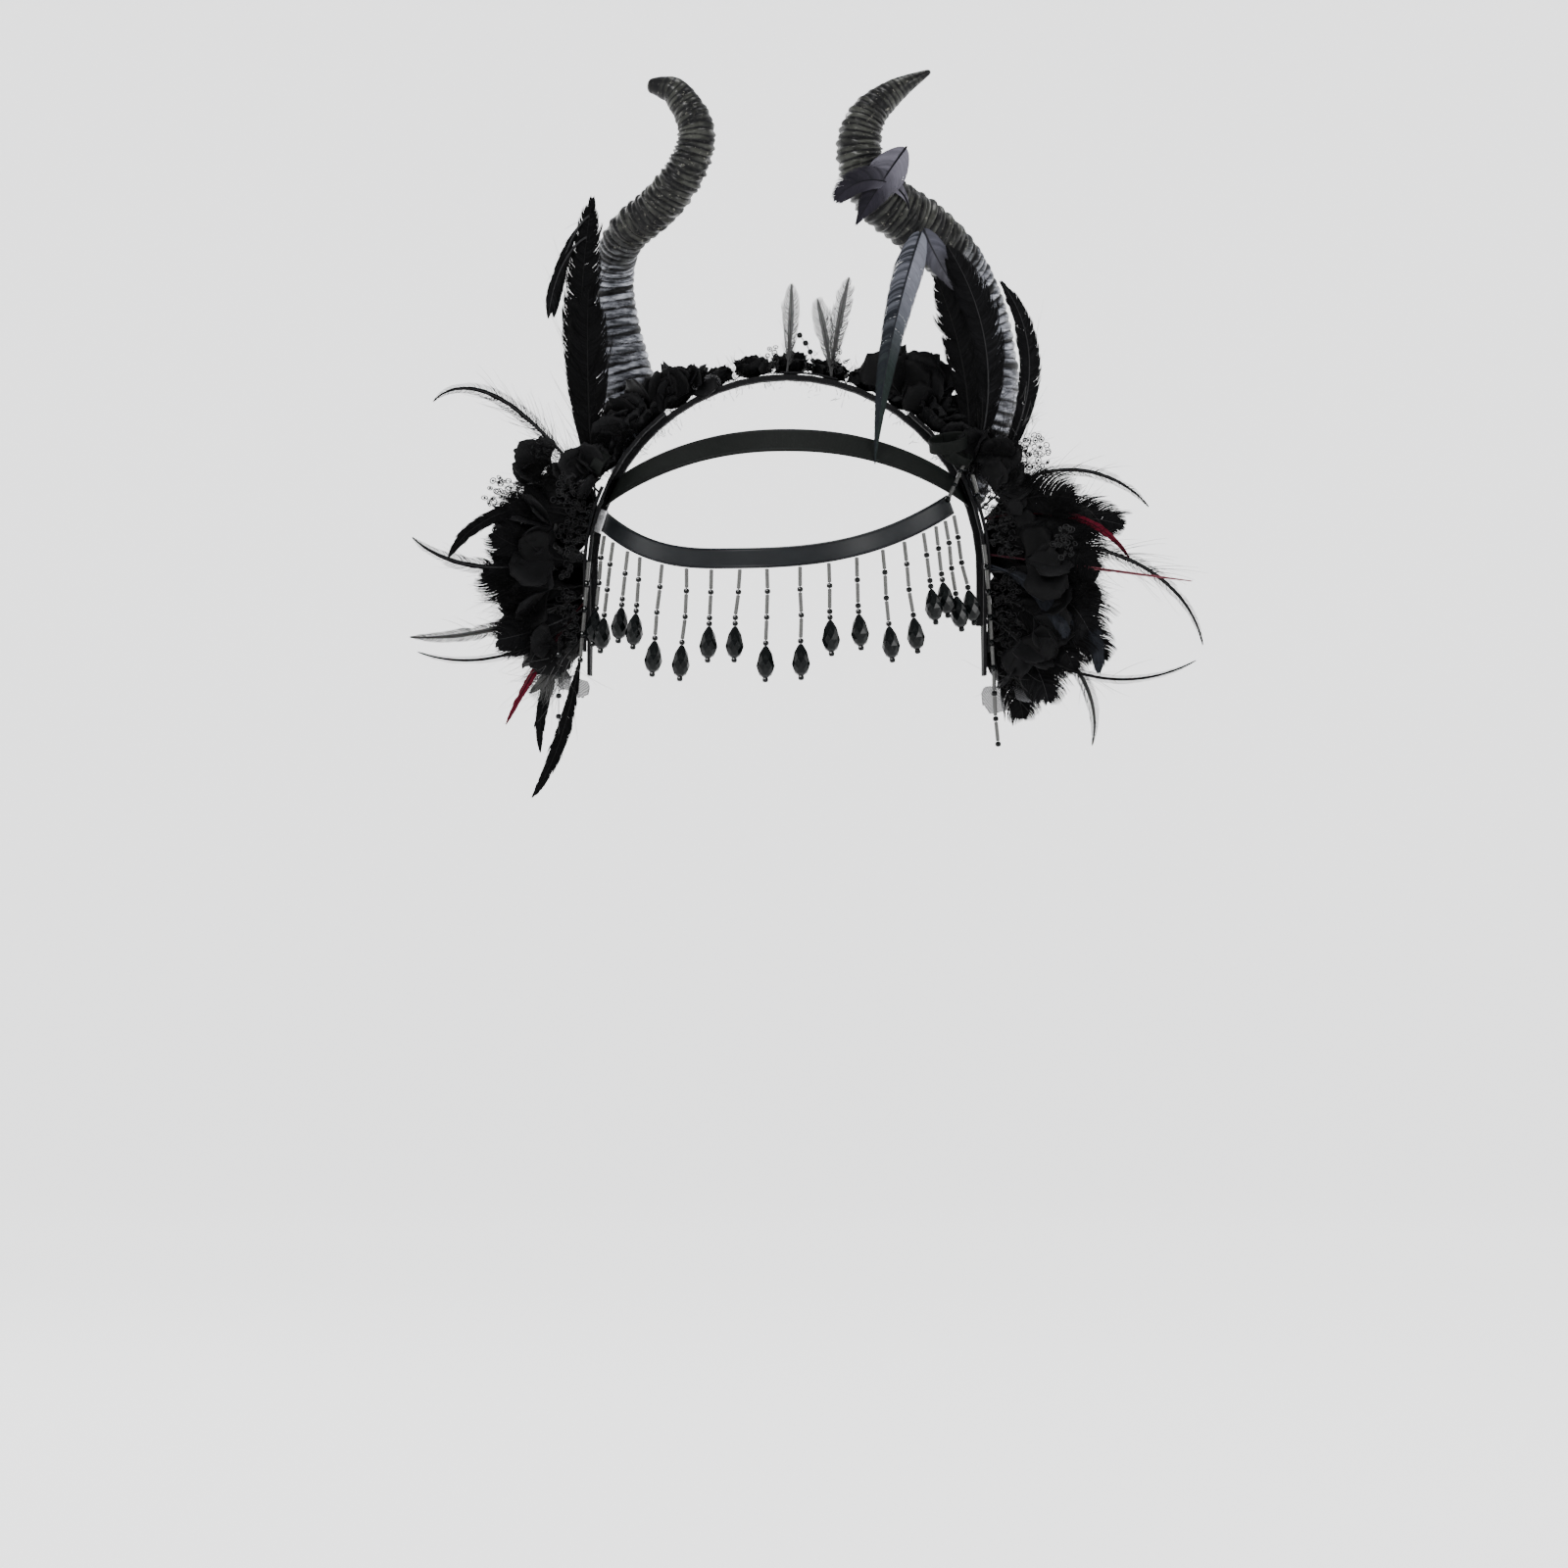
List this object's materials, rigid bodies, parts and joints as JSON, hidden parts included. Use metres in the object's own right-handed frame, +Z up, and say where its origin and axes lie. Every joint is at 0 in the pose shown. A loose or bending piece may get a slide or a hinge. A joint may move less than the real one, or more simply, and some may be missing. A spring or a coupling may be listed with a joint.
{
  "type": "horn headband",
  "caption": "Worn headband with two ribbed S-curved horns, ruffled black flowers, feathers, two straps round the back of the head and a beaded fringe.",
  "frame": {"origin": "crown seat: the underside of the band at its middle, where it sits on the top of the head", "axes": "+Z up; +X towards the wearer's right ear; +Y the way the wearer faces, so the straps and fringe are on the -Y side"},
  "size_m": [0.3593, 0.1604, 0.3325],
  "materials": {
    "horn_paint": "black foam resin, dry-brushed silver on the ribs",
    "silk": "black satin and organza",
    "felt": "black felt",
    "black_feather": "glossy black feather",
    "grey_feather": "silver-lilac to slate green feather",
    "upper_cloth": "matt grosgrain",
    "lower_cloth": "satin ribbon",
    "jet": "glossy faceted jet glass",
    "steel": "bright"
  },
  "bodies": {
    "root": {"backing_left": "felt", "backing_right": "felt", "band": "felt", "bead_strand_left": "jet", "bead_strand_right": "jet", "crown_feathers": "black_feather", "crown_rosette_1": "silk", "crown_rosette_2": "silk", "crown_rosette_3": "silk", "crown_rosette_4": "silk", "crown_rosette_5": "silk", "crown_rosette_6": "silk", "crown_rosette_7": "silk", "drop_01": "jet", "drop_02": "jet", "drop_03": "jet", "drop_04": "jet", "drop_05": "jet", "drop_06": "jet", "drop_07": "jet", "drop_08": "jet", "drop_09": "jet", "drop_10": "jet", "drop_11": "jet", "drop_12": "jet", "drop_13": "jet", "drop_14": "jet", "drop_15": "jet", "drop_16": "jet", "drop_17": "jet", "drop_18": "jet", "feather_spray_left": "black_feather", "feather_spray_right": "black_feather", "foot_rosette_left_1": "silk", "foot_rosette_left_2": "silk", "foot_rosette_right_1": "silk", "foot_rosette_right_2": "silk", "horn_left": "horn_paint", "horn_right": "horn_paint", "lower_strap": "lower_cloth", "side_rose_left_1": "silk", "side_rose_left_2": "silk", "side_rose_left_3": "silk", "side_rose_right_1": "silk", "side_rose_right_2": "silk", "side_rose_right_3": "silk", "silver_feather_curled": "grey_feather", "silver_feather_long": "grey_feather", "strap_clip": "steel", "tall_feathers_right": "black_feather", "upper_strap": "upper_cloth"}
  },
  "joints": []
}
